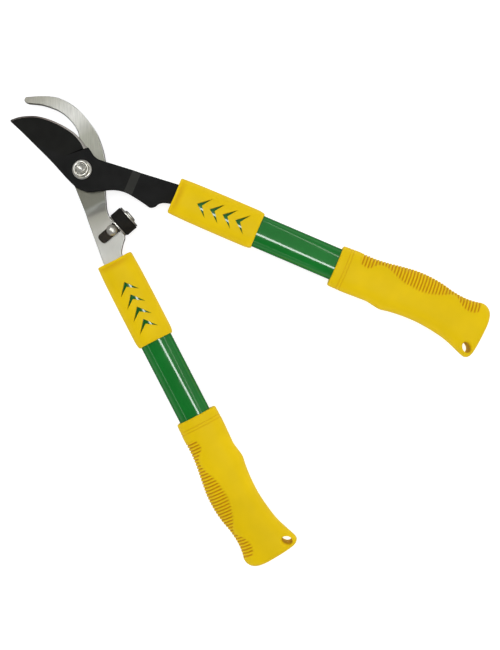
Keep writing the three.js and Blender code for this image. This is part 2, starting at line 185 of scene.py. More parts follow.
def cut(piece, tools, operation="DIFFERENCE"):
    """Cuts tools out of a piece, or joins them to it, and removes them. The cuts take its material."""
    for tool in tools:
        step = piece.modifiers.new("cut", "BOOLEAN")
        step.operation = operation
        step.object = tool
        step.solver = "EXACT"
    own = piece.data.materials[0]
    apply_modifiers(piece)
    for tool in tools:
        bpy.data.objects.remove(tool, do_unlink=True)
    own_material(piece, own)
    return piece


def prism(name, outline, low, high, side):
    """A tool: an outline of [along, out] points in an arm's frame, between two heights."""
    points = np.array(outline, float)
    rings = [place(side, points[:, 0], points[:, 1], np.full(len(points), h)) for h in (low, high)]
    vertices, faces = skin(rings)
    return add_mesh(name, vertices, faces, plain)


# ---- Materials ----

# Nearly all of a noise texture's values lie between these.
NOISE_LOW = 0.3
NOISE_HIGH = 0.7


def new_material(name):
    """A material with its nodes, its links and its shader."""
    material = bpy.data.materials.new(name)
    material.use_nodes = True
    nodes, links = material.node_tree.nodes, material.node_tree.links
    return material, nodes, links, nodes["Principled BSDF"]


def noise(nodes, links, scale, detail=4, stretch=None, turn=0):
    """A noise texture in object space, drawn out along one direction where stretch is given."""
    texture = nodes.new("ShaderNodeTexNoise")
    texture.inputs["Scale"].default_value = scale
    texture.inputs["Detail"].default_value = detail
    where = nodes.new("ShaderNodeTexCoord")
    mapping = nodes.new("ShaderNodeMapping")
    mapping.vector_type = "TEXTURE"
    mapping.inputs["Rotation"].default_value = (0, 0, math.radians(turn))
    if stretch:
        mapping.inputs["Scale"].default_value = stretch
    links.new(where.outputs["Object"], mapping.inputs["Vector"])
    links.new(mapping.outputs["Vector"], texture.inputs["Vector"])
    return texture.outputs["Fac"]


def ramp(nodes, links, source, stops):
    """A colour that goes through [position, colour] stops along a texture."""
    made = nodes.new("ShaderNodeValToRGB")
    while len(made.color_ramp.elements) < len(stops):
        made.color_ramp.elements.new(0.5)
    for element, (position, color) in zip(made.color_ramp.elements, stops):
        element.position = position
        element.color = (*color, 1)
    links.new(source, made.inputs["Fac"])
    return made.outputs["Color"]


def tint(nodes, links, shader, source, dark, light):
    """A base colour from dark to light that follows a texture."""
    colour = ramp(nodes, links, source, [(NOISE_LOW, dark), (NOISE_HIGH, light)])
    links.new(colour, shader.inputs["Base Color"])


def gloss(nodes, links, shader, source, low, high):
    """A roughness from low to high that follows a texture."""
    made = nodes.new("ShaderNodeMapRange")
    made.inputs["From Min"].default_value = NOISE_LOW
    made.inputs["From Max"].default_value = NOISE_HIGH
    made.inputs["To Min"].default_value = low
    made.inputs["To Max"].default_value = high
    links.new(source, made.inputs["Value"])
    links.new(made.outputs["Result"], shader.inputs["Roughness"])


def bump(nodes, links, shader, source, distance, strength):
    """A relief that follows a texture. The distance is in metres."""
    made = nodes.new("ShaderNodeBump")
    made.inputs["Distance"].default_value = distance
    made.inputs["Strength"].default_value = strength
    links.new(source, made.inputs["Height"])
    links.new(made.outputs["Normal"], shader.inputs["Normal"])


def yellow_plastic():
    """Moulded plastic with a fine grain, with painted shade, darker and more orange, in its grooves and
    hollows.
    """
    material, nodes, links, shader = new_material("yellow_plastic")
    tone = noise(nodes, links, 30, 3)
    colour = ramp(nodes, links, tone, [(0.35, (0.76, 0.515, 0.001)), (0.65, (0.83, 0.565, 0.001))])
    groove = nodes.new("ShaderNodeAttribute")
    groove.attribute_name = "groove"
    groove_shade_mix = nodes.new("ShaderNodeMix")
    groove_shade_mix.data_type = "RGBA"
    links.new(groove.outputs["Fac"], groove_shade_mix.inputs["Factor"])
    links.new(colour, groove_shade_mix.inputs["A"])
    # Painted shade: the colour that the groove attribute mixes in where grooves and hollows lie in shade.
    groove_shade_mix.inputs["B"].default_value = (0.60, 0.28, 0.0, 1)
    links.new(groove_shade_mix.outputs["Result"], shader.inputs["Base Color"])
    grain = noise(nodes, links, 2600, 2)
    gloss(nodes, links, shader, noise(nodes, links, 90), 0.42, 0.52)
    bump(nodes, links, shader, grain, 0.00002, 0.5)
    shader.inputs["IOR"].default_value = 1.5
    shader.inputs["Specular IOR Level"].default_value = 0.12
    return material


def green_paint():
    """Glossy paint under a clear coat, with a slight orange peel."""
    material, nodes, links, shader = new_material("green_paint")
    tone = noise(nodes, links, 25, 3)
    tint(nodes, links, shader, tone, (0.003, 0.15, 0.016), (0.004, 0.18, 0.02))
    gloss(nodes, links, shader, noise(nodes, links, 120, 3), 0.1, 0.16)
    peel = noise(nodes, links, 420, 2)
    bump(nodes, links, shader, peel, 0.00001, 0.35)
    shader.inputs["Coat Weight"].default_value = 1.0
    shader.inputs["Coat Roughness"].default_value = 0.04
    return material


def black_coating(name, tone, blue, specular):
    """Matt coating with a slow change of tone and a fine grain. blue is the share of blue in it."""
    material, nodes, links, shader = new_material(name)
    slow = noise(nodes, links, 60, 5)
    dark = (tone * 0.8, tone * 0.8, tone * 0.8 * blue)
    light = (tone * 1.2, tone * 1.2, tone * 1.2 * blue)
    tint(nodes, links, shader, slow, dark, light)
    gloss(nodes, links, shader, noise(nodes, links, 150), 0.42, 0.55)
    grain = noise(nodes, links, 1500, 3)
    bump(nodes, links, shader, grain, 0.00003, 0.5)
    shader.inputs["Specular IOR Level"].default_value = specular
    return material


def multiply(nodes, links, first, second, factor=None):
    """The product of two colours, or a blend from the first to it by a factor."""
    made = nodes.new("ShaderNodeMix")
    made.data_type = "RGBA"
    made.blend_type = "MULTIPLY"
    made.inputs["Factor"].default_value = 1.0
    if factor:
        links.new(factor, made.inputs["Factor"])
    links.new(first, made.inputs["A"])
    links.new(second, made.inputs["B"])
    return made.outputs["Result"]


def distance_along(nodes, links, direction, start, end):
    """0 to 1 between two distances from the pivot, in millimetres, along a direction."""
    where = nodes.new("ShaderNodeTexCoord")
    product = nodes.new("ShaderNodeVectorMath")
    product.operation = "DOT_PRODUCT"
    product.inputs[1].default_value = direction
    links.new(where.outputs["Object"], product.inputs[0])
    made = nodes.new("ShaderNodeMapRange")
    made.inputs["From Min"].default_value = start * MM
    made.inputs["From Max"].default_value = end * MM
    links.new(product.outputs["Value"], made.inputs["Value"])
    return made.outputs["Result"]


def steel(name, tone, roughness, turn, streak=2200, along=None):
    """Ground steel: fine scratches in one direction over slow changes of tone.

    along is a direction, the distances where it starts and ends, and the tones at some distances.
    """
    material, nodes, links, shader = new_material(name)
    slow = noise(nodes, links, 45)
    darker = [0.92 * part for part in tone]
    lighter = [1.05 * part for part in tone]
    colour = ramp(nodes, links, slow, [(NOISE_LOW, darker), (NOISE_HIGH, lighter)])
    scratches = noise(nodes, links, streak, 3, (1, 25, 1), turn)
    lines = ramp(nodes, links, scratches, [(0.35, (0.84, 0.84, 0.83)), (0.65, (1.08, 1.08, 1.08))])
    fade = None
    if along:
        direction, start, end, stops = along
        # The scratches fade out from the pivot towards the handle.
        fade = distance_along(nodes, links, direction, 55, -15)
    colour = multiply(nodes, links, colour, lines, fade)
    if along:
        distance = distance_along(nodes, links, direction, start, end)
        places = [((at - start) / (end - start), shade) for at, shade in stops]
        colour = multiply(nodes, links, colour, ramp(nodes, links, distance, places))
    links.new(colour, shader.inputs["Base Color"])
    gloss(nodes, links, shader, scratches, roughness - 0.06, roughness + 0.06)
    bump(nodes, links, shader, scratches, 0.00002, 0.35)
    shader.inputs["Metallic"].default_value = 1.0
    return material


def zinc_plate():
    material, nodes, links, shader = new_material("zinc_plate")
    tint(nodes, links, shader, noise(nodes, links, 220, 3), (0.72, 0.70, 0.63), (0.90, 0.87, 0.81))
    gloss(nodes, links, shader, noise(nodes, links, 400, 3), 0.32, 0.41)
    bump(nodes, links, shader, noise(nodes, links, 1400, 2), 0.000003, 0.4)
    shader.inputs["Metallic"].default_value = 1.0
    return material


# Distances are in millimetres from the pivot, towards the handle.
# Painted reflection and shade along the hook: brightest half way along, where it reflects the lamps, darker
# round the pivot and the start of its tang, where the blade shades it, and brighter again along the tang.
HOOK_PAINTED_LIGHT = [
    (-84, (0.55, 0.53, 0.46)),
    (-75, (0.60, 0.59, 0.52)),
    (-62, (0.84, 0.84, 0.79)),
    (-50, (0.97, 0.97, 0.93)),
    (-42, (0.89, 0.89, 0.84)),
    (-36, (0.70, 0.70, 0.65)),
    (-28, (0.54, 0.54, 0.47)),
    (-12, (0.51, 0.51, 0.45)),
    (0, (0.41, 0.41, 0.35)),
    (16, (0.25, 0.245, 0.20)),
    (32, (0.26, 0.26, 0.22)),
    (35, (0.40, 0.41, 0.38)),
    (40, (0.38, 0.375, 0.34)),
    (46, (0.49, 0.48, 0.42)),
    (56, (0.62, 0.61, 0.56)),
    (72, (0.74, 0.74, 0.70)),
    (95, (0.76, 0.76, 0.73)),
]
# The blade's edge is bright at its heel and browned at its tip.
EDGE_TONES = [
    (-84, (0.30, 0.27, 0.25)),
    (-62, (0.36, 0.30, 0.27)),
    (-48, (0.70, 0.60, 0.56)),
    (-30, (1.0, 0.94, 0.90)),
    (0, (1.0, 0.97, 0.94)),
]


def rubber():
    material, nodes, links, shader = new_material("rubber")
    tone = noise(nodes, links, 200, 5)
    tint(nodes, links, shader, tone, (0.008, 0.0075, 0.006), (0.016, 0.014, 0.011))
    gloss(nodes, links, shader, tone, 0.6, 0.8)
    bump(nodes, links, shader, noise(nodes, links, 1800, 3), 0.00004, 0.6)
    shader.inputs["Specular IOR Level"].default_value = 0.15
    return material


def blackened_steel():
    material, nodes, links, shader = new_material("blackened_steel")
    tone = noise(nodes, links, 260, 6)
    tint(nodes, links, shader, tone, (0.007, 0.005, 0.004), (0.036, 0.027, 0.017))
    gloss(nodes, links, shader, tone, 0.4, 0.6)
    bump(nodes, links, shader, tone, 0.00005, 0.5)
    shader.inputs["Metallic"].default_value = 0.6
    return material


def nylon():
    material, nodes, links, shader = new_material("nylon")
    tint(nodes, links, shader, noise(nodes, links, 300, 3), (0.2, 0.19, 0.17), (0.3, 0.29, 0.26))
    shader.inputs["Roughness"].default_value = 0.5
    return material


LEFT_TURN = math.radians(-90 - HALF_SPREAD)
LEFT_ARM = (math.cos(LEFT_TURN), math.sin(LEFT_TURN), 0)
RIGHT_ARM = (-LEFT_ARM[0], LEFT_ARM[1], 0)
INWARDS = Vector((-LEFT_ARM[1], LEFT_ARM[0], 0))  # from the left arm, across the gap

plain = bpy.data.materials.new("tool")
YELLOW = yellow_plastic()
GREEN = green_paint()
BLACK = black_coating("black_coating", 0.0095, 0.98, 0.08)
GROUND_BLACK = black_coating("ground_coating", 0.0092, 0.88, 0.08)
# Painted sheen: a lighter coating on the blade's bend, where it catches the light.
BEND_SHEEN_BLACK = black_coating("bend_painted_sheen", 0.024, 0.88, 0.15)
# Painted shade: a darker coating on the blade's step walls, which face away from the light.
STEP_SHADE_BLACK = black_coating("step_painted_shade", 0.001, 0.95, 0.0)
STEEL = steel("bare_steel", (0.885, 0.87, 0.86), 0.5, -47, 1500, (LEFT_ARM, -84, 95, HOOK_PAINTED_LIGHT))
EDGE_STEEL = steel("ground_edge", (0.80, 0.78, 0.76), 0.45, 70, 2200, (RIGHT_ARM, -84, 0, EDGE_TONES))
# Painted highlight: lighter steel on the rounded hook edges that face across the gap.
HIGHLIGHT_EDGE_STEEL = steel("painted_edge_highlight", (0.97, 0.96, 0.94), 0.45, 0)
ZINC = zinc_plate()
RUBBER = rubber()
BLACKENED = blackened_steel()
NYLON = nylon()


# ---- Pieces ----


def finish_piece(piece, body, slot, *nodes):
    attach(piece, body)
    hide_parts(*nodes)
    return piece


def even_flats(piece):
    """Large flat faces keep their own direction, and rounded edges lead up to them."""
    step = piece.modifiers.new("even", "WEIGHTED_NORMAL")
    step.mode = "FACE_AREA"
    step.weight = 100
    step.keep_sharp = True
    apply_modifiers(piece)


def is_plate_edge(edge):
    """True where a plate's face meets its side wall, and false along a ground bevel."""
    walls_and_flats = all(not 0.2 < abs(face.normal.z) < 0.92 for face in edge.link_faces)
    return len(edge.link_faces) == 2 and edge.calc_face_angle() > math.radians(30) and walls_and_flats


def refined(node, name, body, slot, material, bevel_width, bands=(), edge_highlight=None):
    """A CAD plate with rounded edges: a copy of its mesh, with its flat faces whole again.

    Each band is a material and the range of upward tilt, as a cosine, of the faces that it covers.
    edge_highlight is the material of a painted highlight on the rounded upper edges that face one direction,
    and that direction.
    """
    source = frame["nodes"][node].data
    work = bmesh.new()
    work.from_mesh(source)
    bmesh.ops.remove_doubles(work, verts=work.verts, dist=2e-6)
    bmesh.ops.dissolve_limit(work, angle_limit=math.radians(1.0), verts=work.verts, edges=work.edges)
    work.normal_update()
    for face in work.faces:
        for number, (_, low, high) in enumerate(bands):
            if low < face.normal.z < high:
                face.material_index = number + 1
    sharp = [edge for edge in work.edges if is_plate_edge(edge)]
    rounded = bmesh.ops.bevel(
        work, geom=sharp, offset=bevel_width * MM, segments=2, profile=0.5, affect="EDGES",
        clamp_overlap=False, material=0,
    )
    if edge_highlight:
        work.normal_update()
        for face in rounded["faces"]:
            if face.normal.z > 0.2 and face.normal.dot(edge_highlight[1]) > 0.2:
                face.material_index = len(bands) + 1
    mesh = bpy.data.meshes.new(name)
    work.to_mesh(mesh)
    work.free()
    piece = bpy.data.objects.new(name, mesh)
    bpy.context.scene.collection.objects.link(piece)
    mesh.materials.append(material)
    for band_material, _, _ in bands:
        mesh.materials.append(band_material)
    if edge_highlight:
        mesh.materials.append(edge_highlight[0])
    mesh.shade_smooth()
    mesh.set_sharp_from_angle(angle=math.radians(50))
    even_flats(piece)
    return finish_piece(piece, body, slot, node)


TUBE_HALF_WIDTH = 15.15
TUBE_HALF_DEPTH = 8
TUBE_POWER = 2.3
TUBE_WALL = 1.4
TUBE_START = 90
TUBE_END = 378
RING = 112  # points round a handle's section


def tube_ring(side, along, clearance):
    """A ring outside the tube's surface by a clearance, or inside it if that is negative."""
    width = TUBE_HALF_WIDTH + clearance
    out, up, _ = oval(width, width, TUBE_HALF_DEPTH + clearance, TUBE_POWER, RING)
    return place(side, np.full(RING, float(along)), AXIS_OUT + out, up)


def make_tube(side_name):
    side = SIDES[side_name]
    inside = -TUBE_WALL
    stations = [(TUBE_END, inside), (TUBE_START, inside), (TUBE_START, 0), (TUBE_END, 0), (TUBE_END, inside)]
    rings = [tube_ring(side, along, clearance) for along, clearance in stations]
    vertices, faces = skin(rings, False, False)
    piece = add_mesh(f"{side_name}_oval_tube", vertices, faces, GREEN)
    return finish_piece(piece, BODY[side_name], "green_paint", f"{side_name}_tube")


SLEEVE_FRONT = 87
SLEEVE_END = 170.4
SLEEVE_HALF_WIDTH = [(87, 17.1), (94, 17.4), (103, 17.7), (116, 17.9), (130, 18), (171, 18)]
SLEEVE_HALF_DEPTH = [(87, 10.7), (103, 10.8), (130, 10.9), (171, 10.9)]
SLEEVE_POWER = 2.5
FRONT_CORNER = 0.8
REAR_CORNER = 8
REAR_TAPER = 0.22
HOLLOW_DEPTH = 0.9
FRONT_BOW = 1.4
TANG_SLOT = [(80, 3.7), (97, 3.7), (97, 23.1), (80, 23.1)]
TANG_SLOT_HALF = 2.2
CHEVRONS = 4
CHEVRON_APEX = 110.1
CHEVRON_PITCH = 12.6
CHEVRON_LENGTH = 11.6
CHEVRON_NOTCH = 5
CHEVRON_HALF_WIDTH = 9.45
THROUGH = 30  # past both faces of a handle


def corner(radius, gap):
    """How far a rounded corner of that radius has turned in, at a gap from the end."""
    inside = np.clip(gap, 0, radius)
    return radius - np.sqrt(radius**2 - (radius - inside) ** 2)


def make_sleeve(side_name):
    side = SIDES[side_name]
    alongs = np.concatenate([
        SLEEVE_FRONT + 7 * (1 - np.cos(np.linspace(0, math.pi / 2, 17))),
        np.linspace(SLEEVE_FRONT + 8, SLEEVE_END - 9, 37),
        SLEEVE_END - REAR_CORNER * (1 - np.sin(np.linspace(0, math.pi / 2, 13))),
    ])
    rings = []
    shades = []
    for along in alongs:
        from_front = along - SLEEVE_FRONT
        front = corner(FRONT_CORNER, from_front)
        rear = REAR_TAPER * corner(REAR_CORNER, SLEEVE_END - along)
        half = smooth_curve(SLEEVE_HALF_WIDTH, along) - front - rear
        depth = smooth_curve(SLEEVE_HALF_DEPTH, along) - 0.5 * front - rear
        out, up, _ = oval(half, half, depth, SLEEVE_POWER, RING)
        # A shallow hollow runs across both faces just behind the front rim.
        middle = 1 - (out / half) ** 2
        hollow = ease(from_front, 1.2, 3.2) * (1 - ease(from_front, 3.2, 10)) * middle
        up = up - np.sign(up) * HOLLOW_DEPTH * hollow
        # The front rim bows in a little at its middle.
        bow = FRONT_BOW * middle * (1 - ease(from_front, 0, 10))
        rings.append(place(side, along + bow, AXIS_OUT + out, up))
        # The hollow also gets painted shade through the groove attribute.
        shades.append(0.5 * hollow)
    vertices, faces = skin(rings)
    piece = add_mesh(f"{side_name}_handle_sleeve", vertices, faces, YELLOW, 35, np.concatenate(shades))
    socket_rings = [tube_ring(side, along, 0.15) for along in (SLEEVE_FRONT + 2.5, SLEEVE_END + 10)]
    tools = [add_mesh("socket", *skin(socket_rings), plain)]
    tools.append(prism("slot", TANG_SLOT, -TANG_SLOT_HALF, TANG_SLOT_HALF, side))
    for i in range(CHEVRONS):
        apex = CHEVRON_APEX + CHEVRON_PITCH * i
        outline = [
            (apex, AXIS_OUT),
            (apex + CHEVRON_LENGTH, AXIS_OUT + CHEVRON_HALF_WIDTH),
            (apex + CHEVRON_NOTCH, AXIS_OUT),
            (apex + CHEVRON_LENGTH, AXIS_OUT - CHEVRON_HALF_WIDTH),
        ]
        tools.append(prism(f"chevron_{i}", outline, -THROUGH, THROUGH, side))
    cut(piece, tools)
    tidy(piece, 35)
    return finish_piece(piece, BODY[side_name], "yellow_plastic", f"{side_name}_sleeve")


GRIP_START = 248.7
GRIP_END = 397.4
# The grip's outline, as distances outwards and inwards from the handle's axis.
GRIP_OUTER = [
    (248, 18.5), (262, 19.2), (281, 19.3), (292, 20.3), (301, 21.7), (310, 23), (318, 24), (326, 24.3),
    (336, 23.9), (347, 22.4), (358, 19.9), (366, 18.8), (373, 18.5), (380, 19.1), (388, 20.6), (400, 22),
]
GRIP_INNER = [
    (248, 20.7), (262, 21), (281, 20.3), (288, 20.1), (295, 21.2), (302, 22.1), (310, 20.9), (318, 20),
    (326, 19.5), (336, 19.4), (347, 20.2), (358, 21.8), (366, 23.3), (373, 25.4), (380, 28), (388, 31),
    (400, 33.5),
]
GRIP_DEPTH = [
    (248, 11.2), (262, 11.4), (281, 11.5), (301, 12), (336, 12), (358, 11.6), (373, 11.7), (388, 12),
    (400, 12),
]
GRIP_POWER = 2.4
OUTER_CORNER = 12
INNER_CORNER = 6.8
FACE_CORNER = 4.5
COLLAR_CORNER = 1.6
END_BULGE = 0.35
COLLAR_LINES = (256.8, 259.6)
COLLAR_LINE_DEPTH = 0.28
FIRST_RIB = 266.5
LAST_RIB = 386.5
RIB_PITCH = 3.0
RIB_DEPTH = 0.85
# Where the ribs end on the grip's faces, as a distance out from the handle's axis.
RIB_REACH = [
    (264, 15.5), (268, 9.5), (272, 7.6), (278, 8), (283, 13), (290, 15.5), (296, 14), (303, 11), (311, 8.2),
    (320, 7), (333, 7), (340, 8.6), (348, 11.5), (356, 15.5), (361, 16.5), (366, 11.5), (371, 8.5),
    (378, 7.4), (383, 9), (388, 14),
]


def grip_ring(side, along):
    """One ring of the grip's outside, and the painted groove shade of each of its points, from 0 to 1, by
    how deep in a groove it lies.
    """
    to_end = GRIP_END - along
    outer = smooth_curve(GRIP_OUTER, along) - corner(OUTER_CORNER, to_end)
    inner = smooth_curve(GRIP_INNER, along) - corner(INNER_CORNER, to_end)
    depth = smooth_curve(GRIP_DEPTH, along) - corner(FACE_CORNER, to_end)
    front = corner(COLLAR_CORNER, along - GRIP_START)
    out, up, normal = oval(outer - front, inner - front, depth - front, GRIP_POWER, RING)
    groove = np.zeros(RING)
    if FIRST_RIB < along < LAST_RIB:
        phase = abs(((along - FIRST_RIB - 0.5) / RIB_PITCH) % 1 - 0.5) * 2
        wave = ease(phase, 0.35, 0.75)
        reach = smooth_curve(RIB_REACH, along)
        fade = ease(along, FIRST_RIB, FIRST_RIB + 2.5) * (1 - ease(along, LAST_RIB - 2, LAST_RIB))
        groove += RIB_DEPTH * wave * ease(out, reach - 0.6, reach + 0.8) * fade
    for line in COLLAR_LINES:
        groove += COLLAR_LINE_DEPTH * (1 - ease(abs(along - line), 0.2, 0.9))
    out = out - normal[0] * groove
    up = up - normal[1] * groove
    # The end slants: its inner side is a little shorter.
    lean = 0.045 * ease(along, 385, GRIP_END)
    # The groove depth, scaled to 0 to 1, is the painted shade in the ribs' grooves and collar lines.
    return place(side, along + lean * np.minimum(out, 0), AXIS_OUT + out, up), groove / RIB_DEPTH


def make_grip(side_name):
    side = SIDES[side_name]
    alongs = np.concatenate([
        GRIP_START + COLLAR_CORNER * (1 - np.cos(np.linspace(0.02, math.pi / 2, 8))),
        np.arange(251, 266, 0.3),
        np.arange(266, 387, 0.25),
        np.linspace(387.3, GRIP_END - 6, 16),
        GRIP_END - 6 + 5.98 * np.sin(np.linspace(0.08, math.pi / 2, 18)),
    ])
    # The bore round the tube, flared at the grip's front.
    bore = [(380, 0.2), (GRIP_START + 0.5, 0.2), (GRIP_START, 0.7)]
    rings = [tube_ring(side, along, clearance) for along, clearance in bore]
    groove_shades = [np.zeros(RING)] * len(rings)
    for along in alongs:
        ring, depth = grip_ring(side, along)
        rings.append(ring)
        groove_shades.append(depth)
    centre = rings[-1].mean(axis=0)
    bulge = place(side, END_BULGE, 0.0, 0.0) - place(side, 0.0, 0.0, 0.0)
    last = rings[-1]
    for share in (0.85, 0.6, 0.3):
        rings.append(centre + (last - centre) * share + bulge * (1 - share**2))
        groove_shades.append(np.zeros(RING))
    vertices, faces = skin(rings)
    piece = add_mesh(f"{side_name}_handle_grip", vertices, faces, YELLOW, 50, np.concatenate(groove_shades))
    cut(piece, [hang_hole(side)])
    tidy(piece, 50)
    return finish_piece(piece, BODY[side_name], "yellow_plastic", f"{side_name}_grip")


HOLE_ALONG = 388.1
HOLE_INWARDS = 23.6
HOLE_LONG = 5.2
HOLE_SHORT = 3.7
HOLE_TURN = math.radians(-39)
HOLE_SIDES = 48
HOLE_FLARE = [(-16, 6), (-9.6, 1.1), (-8.8, 0.45), (-7.8, 0), (7.8, 0), (8.8, 0.45), (9.6, 1.1), (16, 6)]


def hang_hole(side):
    """The oval hole at the grip's inner corner, flared where it meets both faces."""
    angle = 2 * math.pi * np.arange(HOLE_SIDES) / HOLE_SIDES
    rings = []
    for height, flare in HOLE_FLARE:
        x = (HOLE_LONG + flare) * np.cos(angle)
        y = (HOLE_SHORT + flare) * np.sin(angle)
        along = HOLE_ALONG + x * math.cos(HOLE_TURN) - y * math.sin(HOLE_TURN)
        out = AXIS_OUT - HOLE_INWARDS + x * math.sin(HOLE_TURN) + y * math.cos(HOLE_TURN)
        rings.append(place(side, along, out, np.full(HOLE_SIDES, float(height))))
    vertices, faces = skin(rings)
    return add_mesh("hang_hole", vertices, faces, plain)


# The pivot. Heights are above the plane that the tool lies on.

NUT_BASE = 16.45
NUT_TOP = 23.5
STACK_TOP = 24
HEX_ACROSS = 13
HEAD_HEIGHT = 5.55
THREAD_RADIUS = 3.97
THREAD_ROOT = 3.45
THREAD_PITCH = 1.25
THREAD_START = 13


def hexagon(name, low, high, turn):
    """A tool: a hexagonal bar on the pivot's axis, turned by some degrees."""
    radius = HEX_ACROSS / 2 / math.cos(math.pi / 6)
    angle = math.radians(turn) + math.pi / 3 * np.arange(6)
    x, y = radius * np.cos(angle), radius * np.sin(angle)
    rings = [np.stack([x, y, np.full(6, float(height))], axis=-1) * MM for height in (low, high)]
    vertices, faces = skin(rings)
    return add_mesh(name, vertices, faces, plain)


def make_nut():
    """A flange, a hexagon that rises out of a groove in it, and a round collar over the thread."""
    shoulder = NUT_TOP - 1.6
    hex_part = hexagon("nut_hex", NUT_BASE + 0.4, shoulder, 12)
    crown = turned("crown", [
        (0, 0), (8, 15), (8, shoulder - 1), (6.5, shoulder), (5.9, shoulder), (5.4, shoulder - 1),
        (0, shoulder - 1),
    ], plain)
    cut(hex_part, [crown], "INTERSECT")
    piece = turned("pivot_lock_nut", [
        (0, NUT_BASE), (8.7, NUT_BASE), (8.95, NUT_BASE + 0.25), (8.95, NUT_BASE + 0.9),
        (8.6, NUT_BASE + 1.25),
        (7.7, NUT_BASE + 1.7), (7.3, NUT_BASE + 1.7), (6.4, NUT_BASE + 0.8), (0, NUT_BASE + 0.8),
    ], ZINC, count=96)
    collar = turned("collar", [
        (0, 17), (5.25, 17), (5.25, NUT_TOP - 0.8), (5.1, NUT_TOP - 0.3), (4.8, NUT_TOP),
        (4.5, NUT_TOP - 0.1), (4.35, NUT_TOP - 0.5), (0, NUT_TOP - 0.5),
    ], plain, count=96)
    cut(piece, [hex_part, collar], "UNION")
    bore = turned("bore", [(0, 10), (4.25, 10), (4.25, 40), (0, 40)], plain)
    cut(piece, [bore])
    tidy(piece, 30)
    return finish_piece(piece, "hook_arm", "zinc_plate", "pivot_nut")


def make_bolt():
    """A hexagon bolt with a thread of rings and a shallow dish in its end."""
    shank = THREAD_RADIUS
    profile = [(0, 2), (shank, 2), (shank, THREAD_START - 0.1)]
    height = THREAD_START
    while height < STACK_TOP - 1.4:
        profile += [(shank, height), (shank, height + 0.15)]
        profile += [(THREAD_ROOT, height + 0.6), (THREAD_ROOT, height + 0.75)]
        height += THREAD_PITCH
    profile += [
        (shank, STACK_TOP - 0.6), (3.7, STACK_TOP - 0.15), (3.4, STACK_TOP - 0.05), (2.6, STACK_TOP - 0.45),
        (1.4, STACK_TOP - 0.8), (0.3, STACK_TOP - 0.9), (0, STACK_TOP - 0.9),
    ]
    piece = turned("pivot_hex_bolt", profile, ZINC)
    hex_head = hexagon("bolt_head", 0, HEAD_HEIGHT, 0)
    around = [(0, 0), (6.4, 0), (8.2, 1.05), (8.2, HEAD_HEIGHT), (0, HEAD_HEIGHT)]
    round_off = turned("round_off", around, plain)
    cut(hex_head, [round_off], "INTERSECT")
    cut(piece, [hex_head], "UNION")
    tidy(piece, 30)
    return finish_piece(piece, "hook_arm", "zinc_plate", "pivot_bolt")


# The bumper: its axis points from the hook's tang to the other arm.

BUMPER_BASE = (60.2, -6.1)
BUMPER_TURN = math.radians(-103.5)
RUBBER_RADIUS = 11.8
RUBBER_HEIGHT = 11.3
CAP_RADIUS = 11.1
CAP_THICKNESS = 1.2
STUD_RADIUS = 2.5
GAP = 0.3  # between the bumper's pieces


def bumper_point(forward):
    """A point of the bumper's axis, in millimetres in the row frame."""
    along = BUMPER_BASE[0] + forward * math.cos(BUMPER_TURN)
    out = BUMPER_BASE[1] + forward * math.sin(BUMPER_TURN)
    return place(SIDES["left"], along, out, 0.0) / MM


BUMPER_ORIGIN = bumper_point(0)
BUMPER_AXIS = bumper_point(1) - BUMPER_ORIGIN


def make_bumper():
    """The rubber, the plate on its outer end and the rivet through both."""
    end = RUBBER_HEIGHT
    half_profile = [(0.4, 0), (0.15, 0.1), (0.05, 0.35), (0, 0.8)]
    body = [(0, 0)]
    body += [(RUBBER_RADIUS - inset, height) for inset, height in half_profile]
    body += [(RUBBER_RADIUS - inset, end - height) for inset, height in reversed(half_profile)]
    body += [(2.8, end), (0, end)]
    pad = turned("bumper_rubber", body, RUBBER, BUMPER_AXIS, BUMPER_ORIGIN, 96)
    finish_piece(pad, "hook_arm", "rubber", "bumper_pad")

    start = end + GAP
    top = start + CAP_THICKNESS
    rings = [
        (0, start), (CAP_RADIUS - 0.2, start), (CAP_RADIUS, start + 0.2), (CAP_RADIUS, top - 0.25),
        (CAP_RADIUS - 0.3, top), (8.6, top), (8.2, top - 0.2), (0, top - 0.2),
    ]
    cap = turned("bumper_cap_plate", rings, ZINC, BUMPER_AXIS, BUMPER_ORIGIN, 96)
    finish_piece(cap, "hook_arm", "zinc_plate", "bumper_cap_washer")

    head = top + GAP
    profile = [
        (0, -3.4), (STUD_RADIUS, -3.4), (STUD_RADIUS, head), (5.7, head), (5.95, head + 0.25),
        (5.9, head + 0.9), (5.4, head + 1.4), (4.2, head + 1.65), (2.6, head + 1.7), (2.3, head + 1.3),
        (0, head + 1.3),
    ]
    rivet = turned("bumper_rivet_head", profile, ZINC, BUMPER_AXIS, BUMPER_ORIGIN)
    finish_piece(rivet, "hook_arm", "zinc_plate", "bumper_rivet")


BRACKET_RIVET = 7.6  # behind the bumper's base
DOME_RADIUS = 5
DOME_HEIGHT = 2.85


def make_bracket_rivet():
    """A rivet with a domed head over the bracket and a flat one under the tang."""
    rivet_place = bumper_point(-BRACKET_RIVET)
    origin = (rivet_place[0], rivet_place[1], 0)
    head = MID + 4.2
    tail = MID - 2.3
    profile = [
        (0, tail - 1.8), (2.6, tail - 1.8), (3.5, tail - 1.3), (3.8, tail - 0.6), (3.8, tail),
        (STUD_RADIUS, tail), (STUD_RADIUS, head), (DOME_RADIUS, head), (5.15, head + 0.15),
        (5.15, head + 0.4), (DOME_RADIUS, head + 0.55),
    ]
    for i in range(1, 12):
        angle = math.pi / 2 * i / 12
        profile.append((DOME_RADIUS * math.cos(angle), head + 0.55 + DOME_HEIGHT * math.sin(angle)))
    profile.append((0, head + 0.55 + DOME_HEIGHT))
    piece = turned("bracket_dome_rivet", profile, ZINC, origin=origin)
    finish_piece(piece, "hook_arm", "zinc_plate", "bracket_rivet")


